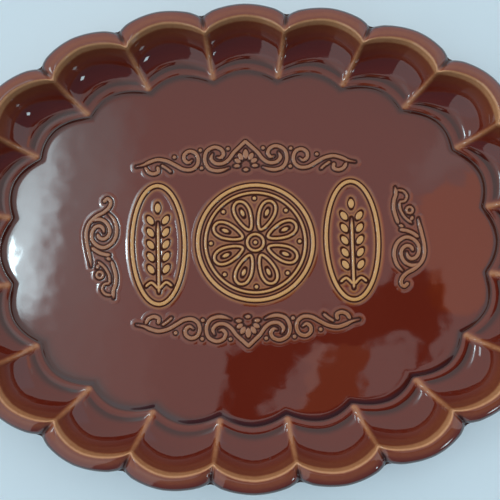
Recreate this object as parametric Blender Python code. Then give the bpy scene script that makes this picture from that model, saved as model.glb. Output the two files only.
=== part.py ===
"""Oval fluted ceramic tray, with scrollwork in low relief round the middle of its well.

The body is one pressed oval dish of twenty lobes, with a foot ring under it. The relief is a set of
sprigs: thin pads of clay, each pressed in its own mould with its ornament and laid on the flat well
before firing. Metres, +Z up. The origin is under the middle of the tray, where its foot stands.
"""

import math

import bmesh
import bpy
from mathutils import Matrix
import numpy as np

MM = 0.001

# Driving dimensions of the body. Each oval of the dish is this one, grown or shrunk all round.
WELL_HALF_LENGTH = 146 * MM
WELL_HALF_WIDTH = 105 * MM
OVAL_FULLNESS = 2.21
LOBES = 20
COLUMNS_PER_LOBE = 6

RIM_SPREAD = 18 * MM
LIP_SPREAD = 12 * MM
WELL_SCALLOP = 6 * MM
CREST_SCALLOP = 7 * MM
LIP_SCALLOP = 5 * MM

TRAY_HEIGHT = 35 * MM
FLOOR_HEIGHT = 10.5 * MM
STEP_RISE = 1.5 * MM
STEP_WIDTH = 2.5 * MM
LIP_DROP = 6 * MM
CREST_ROUNDING = 1.5 * MM
WALL = 6.5 * MM
FLOOR_THICKNESS = 7.2 * MM

FOOT_INSET = 27 * MM
FOOT_WIDTH = 6 * MM
FOOT_TAPER = 1.2 * MM

# Driving dimensions of the relief.
SEAT_GAP = 0.3 * MM
PAD_THICKNESS = 0.8 * MM
BAND_HEIGHT = 0.9 * MM
BAND_WIDTH = 2.6 * MM
FINE_WIDTH = 1.9 * MM
BERRY_WIDTH = 2.8 * MM
BAND_SINK = 0.25 * MM
BAND_BEVEL = 0
BAND_TAPER = 0.25

# The outlines of the sprigs, and the points that they are drawn through, are in millimetres.
MEDALLION_RADIUS = 37.0
CARTOUCHE_HALF_WIDTH = 18.0
CARTOUCHE_HALF_HEIGHT = 38.0
SIDE_SCROLL_REACH = 11.8
LONG_SCROLL_DEPTH = 4.9
PETALS = 8
GRAIN_PAIRS = 5

# The sprigs are set out by hand from the medallion, a little off the middle of the tray.
MIDDLE = (3.6, 1.7)
UPPER_SCROLL_X = -1.0
LOWER_SCROLL_X = -2.0
GAP_IN_ROW = 3.6
GAP_OVER_ROW = 2.6

PARTS_NAME = "ceramic_tray"
HELPERS_NAME = "relief_strokes"


def clear_scene():
    for obj in list(bpy.data.objects):
        bpy.data.objects.remove(obj, do_unlink=True)


def collection_named(name):
    collection = bpy.data.collections.new(name)
    bpy.context.scene.collection.children.link(collection)
    return collection


def glaze(name, colour, roughness):
    material = bpy.data.materials.new(name)
    material.use_nodes = True
    shader = material.node_tree.nodes["Principled BSDF"]
    shader.inputs["Base Color"].default_value = (*colour, 1)
    shader.inputs["Roughness"].default_value = roughness
    shader.inputs["Metallic"].default_value = 0
    return material


# The oval and its lobes.

OVAL_SAMPLES = 4000


def oval(growth, shares):
    """Points of the grown oval at these shares of its length, which start at the end of +Y."""
    turn = np.linspace(0, 2 * math.pi, OVAL_SAMPLES + 1)
    length = WELL_HALF_LENGTH + growth
    width = WELL_HALF_WIDTH + growth
    reach = (abs(np.sin(turn) / length) ** OVAL_FULLNESS
             + abs(np.cos(turn) / width) ** OVAL_FULLNESS) ** (-1 / OVAL_FULLNESS)
    x, y = reach * np.sin(turn), reach * np.cos(turn)
    along = np.concatenate([[0], np.cumsum(np.hypot(np.diff(x), np.diff(y)))])
    wanted = np.mod(shares, 1) * along[-1]
    return np.interp(wanted, along, x), np.interp(wanted, along, y)


def lobed_ring(growth, scallop, height):
    """One closed ring of the dish. It swells by the scallop at the middle of every lobe."""
    columns = LOBES * COLUMNS_PER_LOBE
    step = np.arange(columns)
    across = (step % COLUMNS_PER_LOBE) / COLUMNS_PER_LOBE
    swell = scallop * (1 - (2 * across - 1) ** 2)
    # A ridge lies half a lobe off each axis, so that a lobe is centred on it.
    shares = step / columns - 0.5 / LOBES
    ring = []
    for share, extra in zip(shares, swell):
        x, y = oval(growth + extra, share)
        ring.append((float(x), float(y), height))
    return ring


def edge_height():
    return FLOOR_HEIGHT + STEP_RISE


def flute_rise():
    return TRAY_HEIGHT - edge_height()


def flute(angle):
    """Growth and height of the flute's inner face, a quarter ellipse from the well's edge to the crest."""
    growth = RIM_SPREAD * math.sin(angle)
    height = edge_height() + flute_rise() * (1 - math.cos(angle))
    return growth, height


def flute_outside(angle):
    """The same face moved out by the wall, square to it."""
    growth, height = flute(angle)
    run = RIM_SPREAD * math.cos(angle)
    rise = flute_rise() * math.sin(angle)
    slope = math.hypot(run, rise)
    return growth + WALL * rise / slope, height - WALL * run / slope


def scallop_at(growth):
    """Depth of the scallops, which changes evenly from the well's edge to the crest."""
    share = min(max(growth / RIM_SPREAD, 0), 1)
    return WELL_SCALLOP + (CREST_SCALLOP - WELL_SCALLOP) * share


def body_rings():
    """(growth, scallop, height) of each ring, from the floor over the rim to the foot."""
    rings = [(-STEP_WIDTH, WELL_SCALLOP, FLOOR_HEIGHT), (0, WELL_SCALLOP, edge_height())]

    for angle in (20, 38, 54, 68, 80):
        growth, height = flute(math.radians(angle))
        rings.append((growth, scallop_at(growth), height))
    rings.append((RIM_SPREAD, CREST_SCALLOP, TRAY_HEIGHT - CREST_ROUNDING))
    rings.append((RIM_SPREAD + CREST_ROUNDING, CREST_SCALLOP, TRAY_HEIGHT))

    lip_height = TRAY_HEIGHT - LIP_DROP
    for angle in (40, 68, 90):
        turn = math.radians(angle)
        start = RIM_SPREAD + CREST_ROUNDING
        growth = start + (LIP_SPREAD - CREST_ROUNDING) * math.sin(turn)
        height = lip_height + LIP_DROP * math.cos(turn)
        share = (growth - RIM_SPREAD) / LIP_SPREAD
        rings.append((growth, CREST_SCALLOP + (LIP_SCALLOP - CREST_SCALLOP) * share, height))
    rings.append((RIM_SPREAD + LIP_SPREAD - CREST_ROUNDING, LIP_SCALLOP, lip_height - 2 * CREST_ROUNDING))

    for angle, softened in ((58, 0.9), (32, 0.75), (0, 0.5)):
        growth, height = flute_outside(math.radians(angle))
        rings.append((growth, WELL_SCALLOP * softened, height))

    underside = FLOOR_HEIGHT - FLOOR_THICKNESS
    rings.append((-FOOT_INSET, 0, underside))
    rings.append((-FOOT_INSET - FOOT_TAPER, 0, 0))
    rings.append((-FOOT_INSET - FOOT_TAPER - FOOT_WIDTH, 0, 0))
    rings.append((-FOOT_INSET - 2 * FOOT_TAPER - FOOT_WIDTH, 0, underside))
    return rings


def tray_body(parts, material):
    """The dish, a loft through its scalloped rings, closed by the floor and by its underside."""
    mesh = bmesh.new()
    rings = [[mesh.verts.new(point) for point in lobed_ring(*ring)] for ring in body_rings()]
    columns = LOBES * COLUMNS_PER_LOBE
    for inner, outer in zip(rings, rings[1:]):
        for here in range(columns):
            after = (here + 1) % columns
            mesh.faces.new((inner[here], outer[here], outer[after], inner[after]))
    mesh.faces.new(list(reversed(rings[0])))
    mesh.faces.new(rings[-1])
    bmesh.ops.recalc_face_normals(mesh, faces=mesh.faces)
    return finished("tray_body", mesh, parts, material)


def finished(name, mesh, collection, material):
    """The object of this name, made from a bmesh and shaded smooth where it is round."""
    data = bpy.data.meshes.new(name)
    mesh.to_mesh(data)
    mesh.free()
    data.materials.append(material)
    data.shade_smooth()
    data.set_sharp_from_angle(angle=math.radians(40))
    obj = bpy.data.objects.new(name, data)
    collection.objects.link(obj)
    return obj


# What the sprigs are made of. Points are in millimetres from the sprig's own middle.


def welded(curve):
    """The curve object as a bmesh with its caps welded on. The curve itself is removed."""
    bpy.context.view_layer.update()
    graph = bpy.context.evaluated_depsgraph_get()
    data = bpy.data.meshes.new_from_object(curve.evaluated_get(graph))
    mesh = bmesh.new()
    mesh.from_mesh(data)
    mesh.transform(curve.matrix_world)
    bmesh.ops.remove_doubles(mesh, verts=mesh.verts, dist=1e-6)
    bmesh.ops.recalc_face_normals(mesh, faces=mesh.faces)
    bpy.data.objects.remove(curve, do_unlink=True)
    bpy.data.meshes.remove(data)
    return mesh


def settle(mesh, depth):
    """Presses a shape of this half depth low, and sinks its lower half into the top of the pad."""
    middle = PAD_THICKNESS / 2 - BAND_SINK
    root = (PAD_THICKNESS - BAND_SINK) / 2
    for vert in mesh.verts:
        reach = BAND_HEIGHT if vert.co.z > 0 else root
        vert.co.z = middle + vert.co.z / depth * reach


def helper(name, mesh, helpers):
    data = bpy.data.meshes.new(name)
    mesh.to_mesh(data)
    mesh.free()
    obj = bpy.data.objects.new(name, data)
    obj.hide_render = True
    obj.display_type = "WIRE"
    helpers.objects.link(obj)
    return obj


def band(helpers, points, width=BAND_WIDTH, ends=(1, 1), closed=False, detail=1):
    """A raised band along a curve through the points. Its ends may be thinner, as shares of its width."""
    curve = bpy.data.curves.new("band", "CURVE")
    curve.dimensions = "3D"
    curve.twist_mode = "Z_UP"
    curve.bevel_depth = width / 2
    curve.bevel_resolution = BAND_BEVEL
    curve.resolution_u = detail
    curve.use_fill_caps = True
    spline = curve.splines.new("BEZIER")
    spline.bezier_points.add(len(points) - 1)
    spline.use_cyclic_u = closed
    for place, (point, spot) in enumerate(zip(spline.bezier_points, points)):
        share = place / (len(points) - 1)
        point.co = (spot[0] * MM, spot[1] * MM, 0)
        point.handle_left_type = "AUTO"
        point.handle_right_type = "AUTO"
        point.radius = min(1, ends[0] + share / BAND_TAPER, ends[1] + (1 - share) / BAND_TAPER)
    route = bpy.data.objects.new("band", curve)
    helpers.objects.link(route)
    mesh = welded(route)
    settle(mesh, width / 2)
    return helper("band", mesh, helpers)


def drop(helpers, centre, length, width, turn=0.0):
    """A petal, grain or berry: a low rounded drop that points along turn, in degrees from +X.

    Its centre is in millimetres like every drawn point, and its length and width in metres.
    """
    mesh = bmesh.new()
    # The sphere's poles lie along the drop, so that its ends come to a soft point.
    lay = Matrix.Rotation(math.radians(90), 4, "Y") @ Matrix.Rotation(math.radians(90), 4, "Z")
    bmesh.ops.create_uvsphere(mesh, u_segments=6, v_segments=5, radius=1, matrix=lay)
    settle(mesh, 1)
    size = Matrix.Diagonal((length / 2, width / 2, 1, 1))
    place = Matrix.Translation((centre[0] * MM, centre[1] * MM, 0))
    mesh.transform(place @ Matrix.Rotation(math.radians(turn), 4, "Z") @ size)
    return helper("drop", mesh, helpers)


def pad(name, outline, parts, material):
    """The sprig's flat base, cut to a smooth outline and as thick as the pad."""
    curve = bpy.data.curves.new(name, "CURVE")
    curve.dimensions = "2D"
    curve.fill_mode = "BOTH"
    curve.extrude = PAD_THICKNESS / 2
    curve.resolution_u = 3
    spline = curve.splines.new("BEZIER")
    spline.bezier_points.add(len(outline) - 1)
    spline.use_cyclic_u = True
    for point, spot in zip(spline.bezier_points, outline):
        point.co = (spot[0] * MM, spot[1] * MM, 0)
        point.handle_left_type = "AUTO"
        point.handle_right_type = "AUTO"
    route = bpy.data.objects.new("outline", curve)
    parts.objects.link(route)
    return finished(name, welded(route), parts, material)


def sprig(name, outline, draw, place, turn, parts, material):
    """A pad with its ornament joined to it, laid on the floor of the well at its place."""
    base = pad(name, outline, parts, material)
    strokes = bpy.data.collections.new(HELPERS_NAME + "_of_" + name)
    bpy.data.collections[HELPERS_NAME].children.link(strokes)
    draw(strokes)
    rest = FLOOR_HEIGHT + SEAT_GAP + PAD_THICKNESS / 2
    where = Matrix.Translation((place[0] * MM, place[1] * MM, rest))
    where = where @ Matrix.Rotation(math.radians(turn), 4, "Z")
    for obj in [base, *strokes.objects]:
        obj.matrix_world = where @ obj.matrix_world
    join = base.modifiers.new("relief", "BOOLEAN")
    join.operation = "UNION"
    join.operand_type = "COLLECTION"
    join.collection = strokes
    join.solver = "EXACT"
    return base


def spiral(centre, outer, inner, start, sweep, ease=4.0, count=9):
    """Points of a volute: it keeps its outer radius for most of the sweep, then turns in."""
    points = []
    for step in range(count):
        share = step / (count - 1)
        radius = outer + (inner - outer) * share ** ease
        angle = math.radians(start + sweep * share)
        points.append((centre[0] + radius * math.cos(angle), centre[1] + radius * math.sin(angle)))
    return points


def mirrored(points):
    return [(-x, y) for x, y in points]


def ring(centre, radius_x, radius_y, count):
    """Points round an oval, for a closed band or an outline."""
    turns = [2 * math.pi * step / count for step in range(count)]
    return [(centre[0] + radius_x * math.sin(turn), centre[1] + radius_y * math.cos(turn)) for turn in turns]


# The long scroll above and below the middle. One half is drawn, and the other mirrors it.

BIG_VOLUTE = (18.9, 6.2)
SMALL_VOLUTE = (34.2, 4.9)
SCROLL_BERRIES = ((9.8, 11.9), (27.3, 11.0), (26.8, 0.2), (42.6, 7.4))
PALMETTE_ROOT = (0.0, 1.6)
PALMETTE_PETALS = ((0, 9.2, 3.4), (32, 7.6, 3.0), (63, 6.6, 2.8), (96, 6.0, 2.4))
PALMETTE_START = 2.4
PALMETTE_FOOT = (0.0, -1.0)
PALMETTE_FOOT_WIDTH = 5.4 * MM


def long_scroll_half():
    """(points, ends) of each band in the right half."""
    leg = [(0.2, 15.6), (3.9, 12.3), (7.9, 8.4), (10.4, 4.0), (13.6, 0.9)]
    inner_hook = spiral(BIG_VOLUTE, 5.4, 3.4, -80, 185, ease=1.5, count=7)
    big_hook = spiral(BIG_VOLUTE, 7.7, 1.6, -128, 350, count=14)
    tail = [(65.0, 1.6), (59.1, 2.5), (54.6, 4.0), (49.8, 4.5), (44.6, 2.9), (39.8, 0.3)]
    tail_hook = spiral(SMALL_VOLUTE, 5.7, 1.4, -75, -330, count=12)
    small_hook = spiral(SMALL_VOLUTE, 5.9, 1.9, -22, -170, ease=0.45, count=6)
    bud = [(60.0, 1.8), (57.2, -1.2), (54.0, -1.9), (52.2, -0.1)]
    return (
        (leg + inner_hook, (1, 0.4)),
        (big_hook, (0.5, 0.4)),
        (tail + tail_hook, (0.1, 0.4)),
        (small_hook, (0.4, 0.4)),
        (bud, (0.4, 0.6)),
    )


def draw_long_scroll(strokes):
    for points, ends in long_scroll_half():
        band(strokes, points, ends=ends)
        band(strokes, mirrored(points), ends=ends)
    for x, y in SCROLL_BERRIES:
        for side in (x, -x):
            drop(strokes, (side, y), BERRY_WIDTH, BERRY_WIDTH)
    for lean, length, width in PALMETTE_PETALS:
        reach = PALMETTE_START + length / 2
        for side in sorted({lean, -lean}):
            turn = math.radians(90 - side)
            x = PALMETTE_ROOT[0] + reach * math.cos(turn)
            y = PALMETTE_ROOT[1] + reach * math.sin(turn)
            drop(strokes, (x, y), length * MM, width * MM, 90 - side)
    drop(strokes, PALMETTE_FOOT, PALMETTE_FOOT_WIDTH, BERRY_WIDTH)


def long_scroll_outline():
    """The pad's edge, a low arch that comes to a soft point at each end."""
    crown, hollow = (0, 19.4), (0, -3.9)
    side = [(7, 15.8), (18, 17.4), (31, 14.8), (45, 10.4), (58, 7.4), (69, 1.8)]
    base = [(57, -LONG_SCROLL_DEPTH), (40, -3.8), (18, -4.6)]
    half = side + base
    return [crown, *half, hollow, *mirrored(half[::-1])]


# The upright scroll at each end of the middle row.

SIDE_VOLUTE = (0.0, 8.6)
SIDE_EYE = (-2.9, -17.4)
SIDE_EYE_RADIUS = 2.6
SIDE_LEAVES = ((-3.6, -10.8, 60), (4.8, -4.6, 40), (6.0, -9.6, 40))
LEAF_LENGTH = 4.5 * MM
LEAF_WIDTH = 2.4 * MM


def draw_side_scroll(strokes):
    crown = [(-0.6, 27.2), (1.8, 28.4), (3.0, 25.6), (0.6, 21.2), (-4.6, 17.6), (-9.4, 12.4), (-10.4, 6.0)]
    band(strokes, crown + [(-8.8, -1.0), (-7.0, -8.6)], ends=(0.6, 0.2), detail=2)
    shoulder = [(0.4, 19.8)] + spiral(SIDE_VOLUTE, 7.6, 2.2, 58, -300, ease=3.0, count=10)
    band(strokes, shoulder, ends=(0.5, 0.4))
    leaf = [(5.0, -7.4), (1.4, -4.2), (-4.4, -0.6)]
    leaf += spiral(SIDE_VOLUTE, 6.6, 3.8, -160, -120, ease=2.0, count=5)
    band(strokes, leaf, ends=(0.5, 0.4))
    stem = [(-1.6, -8.4), (2.6, -13.4), (4.6, -20.0), (3.6, -26.2), (5.0, -31.6)]
    band(strokes, stem, ends=(0.3, 0.2))
    curl = [(3.6, -27.2), (-0.6, -27.8), (-1.4, -23.8), (1.0, -22.0)]
    band(strokes, curl, ends=(0.6, 0.5))
    band(strokes, ring(SIDE_EYE, SIDE_EYE_RADIUS, SIDE_EYE_RADIUS, 8), width=FINE_WIDTH, closed=True)
    for x, y, turn in SIDE_LEAVES:
        drop(strokes, (x, y), LEAF_LENGTH, LEAF_WIDTH, turn)


def side_scroll_outline():
    return [(1.4, 32.6), (7.2, 26.6), (7.0, 19.6), (11.8, 9.0), (9.2, -0.6), (10.2, -8.0), (8.2, -18.0),
            (8.6, -29.0), (4.6, -35.2), (-4.0, -30.0), (-8.8, -19.0), (-11.2, -8.0), (-14.4, 4.0),
            (-12.6, 14.8), (-5.8, 22.4), (-4.4, 29.6)]


# The round medallion and the two upright cartouches of the middle row.

OUTER_RING_INSET = 2.2
INNER_RING_INSET = 6.8
BOSS_RADIUS = 5.0
PETAL_GAP = 3.4
PETAL_HALF_WIDTH = 5.2
# The seed inside each petal, as shares of the petal's length: where its middle is, and how long it is.
SEED_REACH = 0.6
SEED_LENGTH = 0.4


def petal_loop(near, far, half_width):
    """A leaf-shaped loop along +X, from near to far, widest past its middle."""
    points = []
    for step in range(10):
        turn = 2 * math.pi * step / 10
        along = (1 - math.cos(turn)) / 2
        points.append((near + (far - near) * along, half_width * math.sin(turn) * (0.55 + 0.6 * along)))
    return points


def draw_medallion(strokes):
    outer = MEDALLION_RADIUS - OUTER_RING_INSET
    inner = MEDALLION_RADIUS - INNER_RING_INSET
    band(strokes, ring((0, 0), outer, outer, 28), closed=True)
    band(strokes, ring((0, 0), inner, inner, 24), width=FINE_WIDTH, closed=True)
    band(strokes, ring((0, 0), BOSS_RADIUS, BOSS_RADIUS, 8), width=FINE_WIDTH, closed=True)
    drop(strokes, (0, 0), BERRY_WIDTH, BERRY_WIDTH)
    near, far = BOSS_RADIUS + PETAL_GAP, inner - PETAL_GAP
    reach = near + (far - near) * SEED_REACH
    for count in range(PETALS):
        turn = 2 * math.pi * (count + 0.5) / PETALS
        cos, sin = math.cos(turn), math.sin(turn)
        petal = petal_loop(near, far, PETAL_HALF_WIDTH)
        band(strokes, [(x * cos - y * sin, x * sin + y * cos) for x, y in petal], FINE_WIDTH, closed=True)
        seed_length = (far - near) * SEED_LENGTH * MM
        drop(strokes, (reach * cos, reach * sin), seed_length, BERRY_WIDTH, math.degrees(turn))
        between = turn + math.pi / PETALS
        drop(strokes, (far * math.cos(between), far * math.sin(between)), BERRY_WIDTH, BERRY_WIDTH)


GRAIN_LENGTH = 9.0
GRAIN_WIDTH = 3.8 * MM
GRAIN_LEAN = 34
GRAIN_STEP = 7.4
GRAIN_OFFSET = 4.6
STALK_BELOW = 14.0


def draw_cartouche(strokes):
    """An ear of corn inside an oval frame: a stalk with two leaves, and grains in pairs up to a tip."""
    wide = CARTOUCHE_HALF_WIDTH - OUTER_RING_INSET
    tall = CARTOUCHE_HALF_HEIGHT - OUTER_RING_INSET
    band(strokes, ring((0, 0), wide, tall, 28), closed=True)
    lowest = -GRAIN_STEP * (GRAIN_PAIRS - 1) / 2
    top = -lowest + GRAIN_STEP
    foot = lowest - STALK_BELOW
    band(strokes, [(0, foot), (0, lowest), (0, top - GRAIN_LENGTH)], width=FINE_WIDTH, ends=(0.5, 0.3))
    drop(strokes, (0, top), GRAIN_LENGTH * MM, GRAIN_WIDTH, 90)
    for side in (1, -1):
        for count in range(GRAIN_PAIRS):
            centre = (GRAIN_OFFSET * side, lowest + GRAIN_STEP * count)
            drop(strokes, centre, GRAIN_LENGTH * MM, GRAIN_WIDTH, 90 - GRAIN_LEAN * side)
        leaf = [(0.6 * side, foot + 2.6), (4.4 * side, foot + 6.0), (7.8 * side, foot + 3.8)]
        band(strokes, leaf, width=FINE_WIDTH, ends=(0.5, 0.2))


def build():
    clear_scene()
    parts = collection_named(PARTS_NAME)
    collection_named(HELPERS_NAME)
    body_glaze = glaze("brown_glaze", (0.115, 0.030, 0.014), 0.12)
    scroll_glaze = glaze("amber_glaze", (0.30, 0.13, 0.05), 0.15)
    middle_glaze = glaze("golden_glaze", (0.40, 0.21, 0.08), 0.15)

    tray_body(parts, body_glaze)

    half_row = max(MEDALLION_RADIUS, CARTOUCHE_HALF_HEIGHT) + GAP_OVER_ROW + LONG_SCROLL_DEPTH
    long_edge = long_scroll_outline()
    upper = (UPPER_SCROLL_X, MIDDLE[1] + half_row)
    lower = (LOWER_SCROLL_X, MIDDLE[1] - half_row)
    sprig("upper_scroll", long_edge, draw_long_scroll, upper, 0, parts, scroll_glaze)
    sprig("lower_scroll", long_edge, draw_long_scroll, lower, 180, parts, scroll_glaze)

    round_edge = ring((0, 0), MEDALLION_RADIUS, MEDALLION_RADIUS, 16)
    sprig("centre_medallion", round_edge, draw_medallion, MIDDLE, 0, parts, middle_glaze)
    oval_edge = ring((0, 0), CARTOUCHE_HALF_WIDTH, CARTOUCHE_HALF_HEIGHT, 16)
    side_edge = side_scroll_outline()
    to_cartouche = MEDALLION_RADIUS + GAP_IN_ROW + CARTOUCHE_HALF_WIDTH
    to_scroll = to_cartouche + CARTOUCHE_HALF_WIDTH + GAP_IN_ROW + SIDE_SCROLL_REACH
    for name, side in (("left", -1), ("right", 1)):
        middle = (MIDDLE[0] + side * to_cartouche, MIDDLE[1])
        sprig(name + "_cartouche", oval_edge, draw_cartouche, middle, 0, parts, middle_glaze)
        end = (MIDDLE[0] + side * to_scroll, MIDDLE[1])
        sprig(name + "_scroll", side_edge, draw_side_scroll, end, 90 + 90 * side, parts, scroll_glaze)


build()
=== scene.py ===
# %% [markdown]
# # An oval fluted tray in brown glaze
# This is a pressed ceramic tray, dipped in one glossy brown glaze. Where the clay has a sharp edge
# the glaze runs off and looks amber, and where the clay is hollow it pools and looks nearly black.
# So each piece below makes its shape first, and notes where the glaze is thin, where it is deep, and
# where shade is painted on.
# The measured solids are loaded first, because every piece has to stay where they are.

# %% Load the measured tray
import math

import bpy
from mathutils import Matrix, Vector


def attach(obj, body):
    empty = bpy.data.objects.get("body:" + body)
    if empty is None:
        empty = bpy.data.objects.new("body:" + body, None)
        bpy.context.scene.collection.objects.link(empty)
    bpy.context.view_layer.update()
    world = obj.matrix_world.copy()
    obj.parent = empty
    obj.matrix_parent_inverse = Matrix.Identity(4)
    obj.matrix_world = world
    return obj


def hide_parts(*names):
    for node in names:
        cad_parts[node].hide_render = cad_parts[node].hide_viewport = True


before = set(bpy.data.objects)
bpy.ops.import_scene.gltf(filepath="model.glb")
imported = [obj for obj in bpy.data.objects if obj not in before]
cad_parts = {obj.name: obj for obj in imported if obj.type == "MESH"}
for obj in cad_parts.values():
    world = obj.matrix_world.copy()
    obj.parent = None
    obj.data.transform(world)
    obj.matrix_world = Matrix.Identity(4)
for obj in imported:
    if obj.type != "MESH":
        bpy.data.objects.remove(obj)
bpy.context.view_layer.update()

MM = 0.001
print("pieces in the frame:", sorted(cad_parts))

# %% [markdown]
# ## The camera
# The tray was looked at from almost straight above, a little nearer to its front edge, with a wide lens.
# A camera aimed by hand at a point would need trial and error. Here its place and its small turns were
# worked out from the outline of the tray, so the picture and the model line up from the start.

# %% Camera
CAMERA_PLACE = Vector((-1.7, -21.4, 333.7)) * MM
CAMERA_TURNS = (3.29, -0.34, -1.37)
FIELD_OF_VIEW = 50
SENSOR_WIDTH = 36

lens = SENSOR_WIDTH / 2 / math.tan(math.radians(FIELD_OF_VIEW / 2))
camera_data = bpy.data.cameras.new("camera")
camera_data.sensor_width = SENSOR_WIDTH
camera_data.lens = lens
camera_data.clip_start = 0.01
camera = bpy.data.objects.new("camera", camera_data)
bpy.context.scene.collection.objects.link(camera)
turn = Matrix.Identity(3)
for angle, axis in zip(CAMERA_TURNS, "XYZ"):
    turn = turn @ Matrix.Rotation(math.radians(angle), 3, axis)
camera.matrix_world = Matrix.Translation(CAMERA_PLACE) @ turn.to_4x4()
bpy.context.scene.camera = camera
print("lens in mm:", round(lens, 1))

# %% [markdown]
# ## Node maths as plain sums
# A node tree can be drawn by hand, but a long sum of Math nodes is hard to read back. This small class
# wraps a socket, so that a sum on wires is written as a sum, and adds the Math nodes by itself. Every
# other node comes from its one method, node(), which takes the settings first and the sockets next.

# %% A wire that can be added and multiplied


class Wire:
    """One output socket of a node tree, which takes part in Python sums."""

    def __init__(self, tree, socket=None):
        self.tree = tree
        self.socket = socket

    def node(self, kind, settings=None, values=None, out=0):
        """Adds a node and returns one of its outputs. The settings go in before the sockets' values."""
        made = self.tree.nodes.new(kind)
        for name, setting in (settings or {}).items():
            if name == "stops":
                fill_ramp(made.color_ramp, setting)
            else:
                setattr(made, name, setting)
        for key, value in (values or {}).items():
            socket = made.inputs[key]
            if isinstance(value, Wire):
                self.tree.links.new(value.socket, socket)
            else:
                socket.default_value = value
        return Wire(self.tree, made.outputs[out] if made.outputs else None)

    def also(self, out):
        """Another output of the node that this wire comes from."""
        return Wire(self.tree, self.socket.node.outputs[out])

    def math(self, operation, *values):
        values = dict(enumerate(values))
        return self.node("ShaderNodeMath", {"operation": operation}, values)

    def __add__(self, other):
        return self.math("ADD", self, other)

    __radd__ = __add__

    def __sub__(self, other):
        return self.math("SUBTRACT", self, other)

    def __rsub__(self, other):
        return self.math("SUBTRACT", other, self)

    def __mul__(self, other):
        return self.math("MULTIPLY", self, other)

    __rmul__ = __mul__

    def __truediv__(self, other):
        return self.math("DIVIDE", self, other)

    def __rtruediv__(self, other):
        return self.math("DIVIDE", other, self)

    def __pow__(self, other):
        return self.math("POWER", self, other)

    def __abs__(self):
        return self.math("ABSOLUTE", self)

    def most(self, other):
        return self.math("MAXIMUM", self, other)

    def least(self, other):
        return self.math("MINIMUM", self, other)

    def smooth(self, low, high, start=0.0, end=1.0):
        """Goes softly from start to end while this wire goes from low to high."""
        values = {"Value": self, "From Min": low, "From Max": high, "To Min": start, "To Max": end}
        return self.node("ShaderNodeMapRange", {"interpolation_type": "SMOOTHSTEP"}, values)

    def across(self, low, high, start=0.0, end=1.0):
        """The same, while this wire goes between two places in millimetres."""
        return self.smooth(low * MM, high * MM, start, end)

    def hump(self, middle, width):
        """1 where this wire is at the middle, and softly 0 a width away on either side."""
        return abs(self - middle).smooth(0, width, 1, 0)

    def parts(self):
        """The X, Y and Z of a vector."""
        made = self.node("ShaderNodeSeparateXYZ", None, {0: self})
        return made, made.also(1), made.also(2)

    def vector(self, x, y, z):
        return self.node("ShaderNodeCombineXYZ", None, {0: x, 1: y, 2: z})


def fill_ramp(ramp, stops):
    """Gives a colour ramp these (place, colour) stops."""
    while len(ramp.elements) > 1:
        ramp.elements.remove(ramp.elements[0])
    for count, (place, colour) in enumerate(stops):
        stop = ramp.elements[0] if count == 0 else ramp.elements.new(place)
        stop.position = place
        stop.color = colour


# %% [markdown]
# ## From a node tree to a finished piece
# Each tree shapes one piece from a drawn line, with named inputs for its sizes. The result is turned
# into a plain mesh, because a library part should not depend on live modifiers. The line that it was
# drawn from is thrown away afterwards.

# %% Trees, drawn lines and finished meshes


def new_tree(name, inputs):
    """An empty geometry tree with named inputs, and a wire to each of them."""
    tree = bpy.data.node_groups.new(name, "GeometryNodeTree")
    tree.interface.new_socket("Geometry", in_out="INPUT", socket_type="NodeSocketGeometry")
    for label, kind, value in inputs:
        made = tree.interface.new_socket(label, in_out="INPUT", socket_type="NodeSocket" + kind)
        if value is not None:
            made.default_value = value
    tree.interface.new_socket("Geometry", in_out="OUTPUT", socket_type="NodeSocketGeometry")
    entry = tree.nodes.new("NodeGroupInput")
    wires = {label: Wire(tree, entry.outputs[label]) for label, _, _ in inputs}
    wires["Geometry"] = Wire(tree, entry.outputs["Geometry"])
    return tree, wires


def close_tree(tree, geometry, glaze):
    """Ends a tree: instances are made real, and the glaze is set."""
    real = geometry.node("GeometryNodeRealizeInstances", None, {0: geometry})
    done = real.node("GeometryNodeSetMaterial", None, {"Geometry": real, "Material": glaze})
    tree.links.new(done.socket, tree.nodes.new("NodeGroupOutput").inputs[0])


def stored(geometry, name, kind, value, domain="POINT"):
    """Writes a value on the geometry under a name, so that later steps and the glaze can read it."""
    settings = {"data_type": kind, "domain": domain}
    values = {"Geometry": geometry, "Name": name, "Value": value}
    return geometry.node("GeometryNodeStoreNamedAttribute", settings, values)


def named(wire, name, kind="FLOAT"):
    return wire.node("GeometryNodeInputNamedAttribute", {"data_type": kind}, {"Name": name})


def without(geometry, names):
    """The geometry, with these stored values taken off it again."""
    for name in names:
        values = {"Geometry": geometry, "Name": name}
        geometry = geometry.node("GeometryNodeRemoveAttribute", None, values)
    return geometry


def raised(geometry, rise):
    """The geometry, with every point lifted by the wire rise."""
    values = {"Geometry": geometry, "Offset": rise.vector(0, 0, rise)}
    return geometry.node("GeometryNodeSetPosition", None, values)


def drawn(name, lines):
    """A curve object of straight-stepped lines. Each line is (points with their radius, closed)."""
    curve = bpy.data.curves.new(name, "CURVE")
    curve.dimensions = "3D"
    for points, closed in lines:
        spline = curve.splines.new("POLY")
        spline.points.add(len(points) - 1)
        spline.use_cyclic_u = closed
        for point, (x, y, z, radius) in zip(spline.points, points):
            point.co = (x, y, z, 1)
            point.radius = radius
    made = bpy.data.objects.new(name, curve)
    bpy.context.scene.collection.objects.link(made)
    return made


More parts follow.
